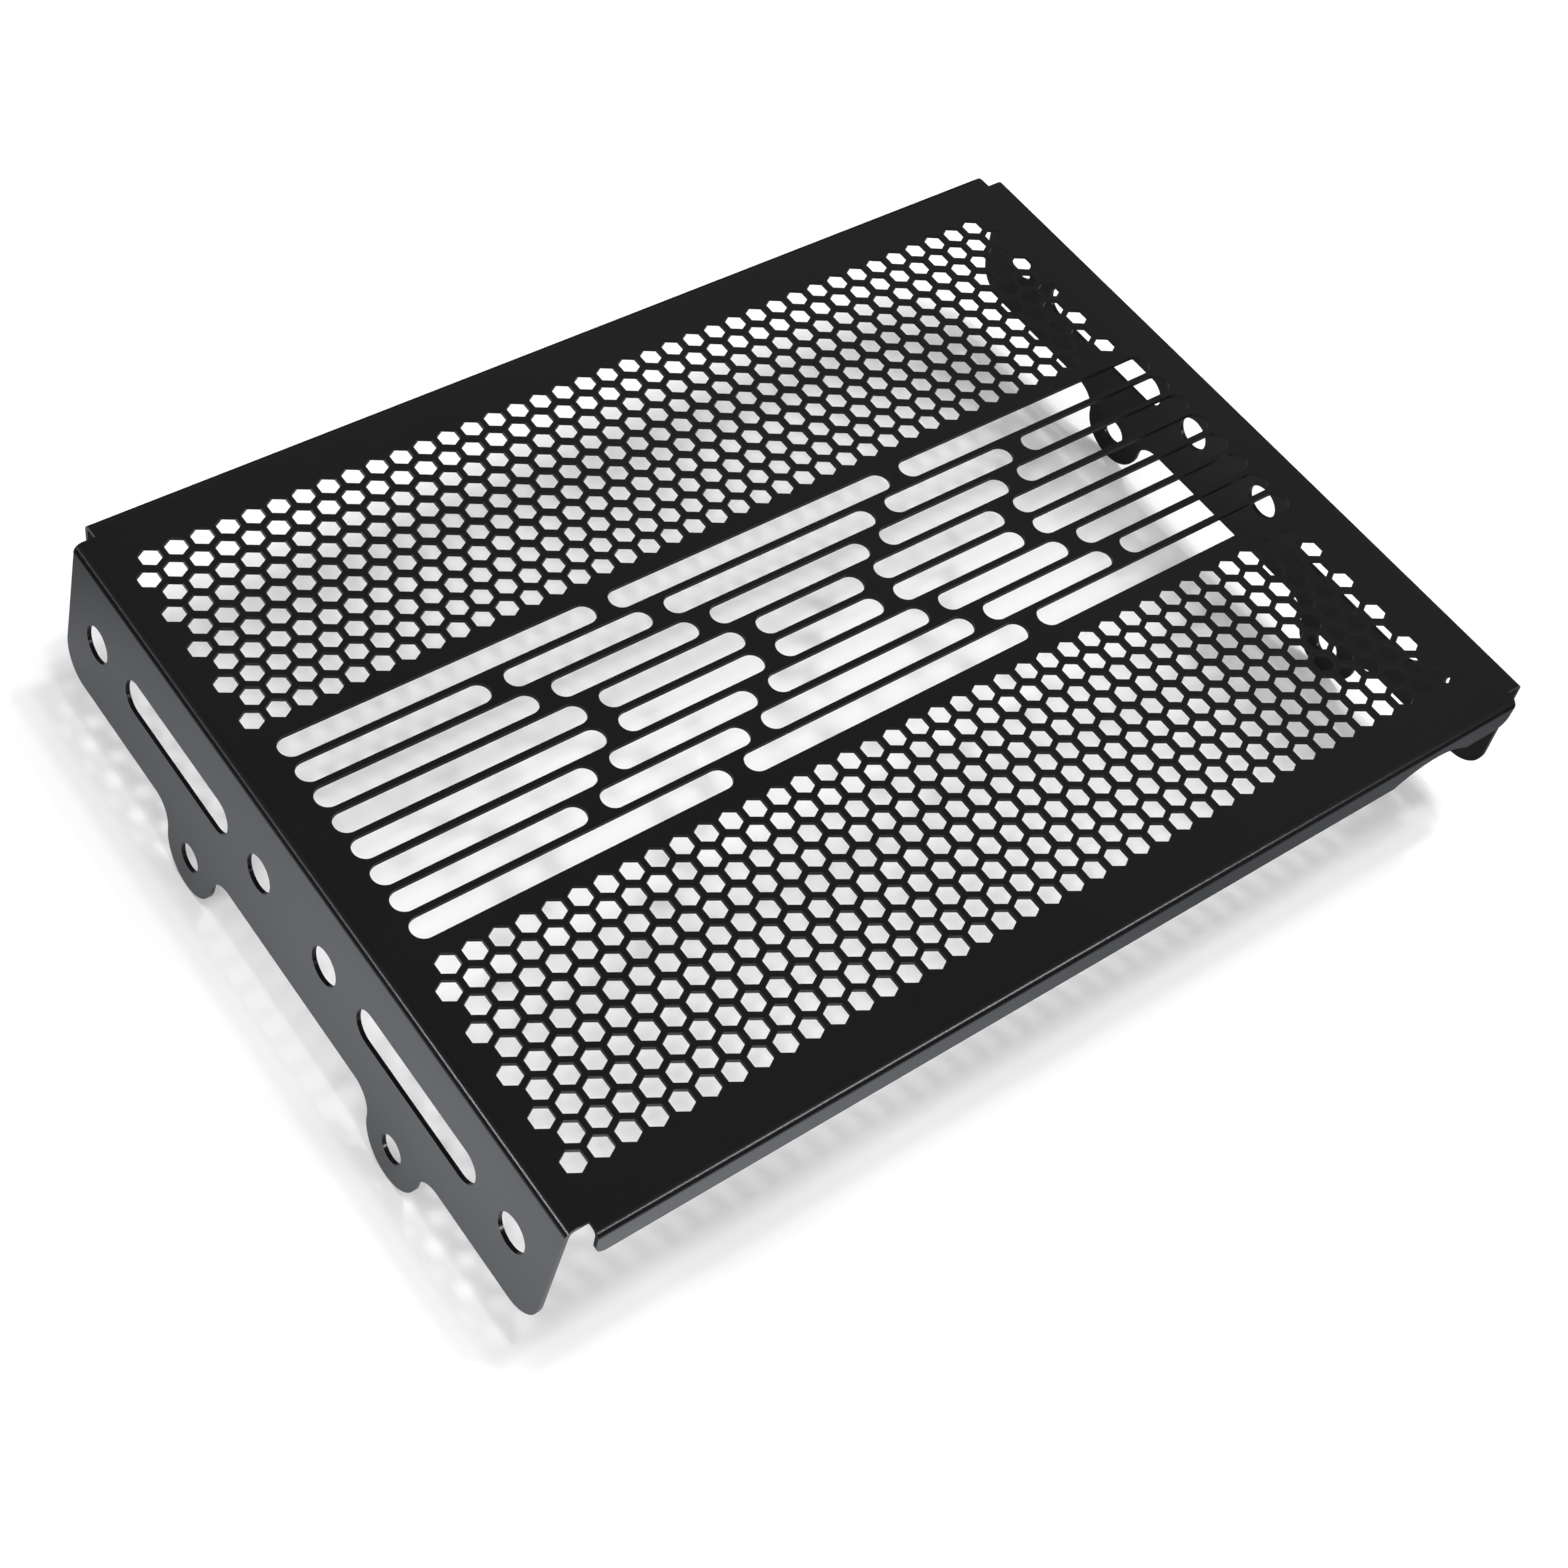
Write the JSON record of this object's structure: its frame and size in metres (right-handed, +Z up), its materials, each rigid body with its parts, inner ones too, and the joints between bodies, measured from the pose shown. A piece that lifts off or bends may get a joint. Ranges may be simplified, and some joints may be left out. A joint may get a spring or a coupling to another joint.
{
  "type": "motorcycle radiator guard",
  "caption": "Folded sheet-metal radiator guard with a perforated face, a slotted middle band, two drilled side walls with bolt lugs and two short lips, in satin black.",
  "frame": {"origin": "centre of the guard's footprint, on the floor that its four lugs stand on", "axes": "+X to the guard's right across its width, +Y to its rear edge along its length, +Z up out of its face"},
  "size_m": [0.2632, 0.19, 0.0497],
  "materials": {
    "powder_coat": "satin black powder coat"
  },
  "bodies": {
    "root": {"guard": "powder_coat"}
  },
  "joints": []
}
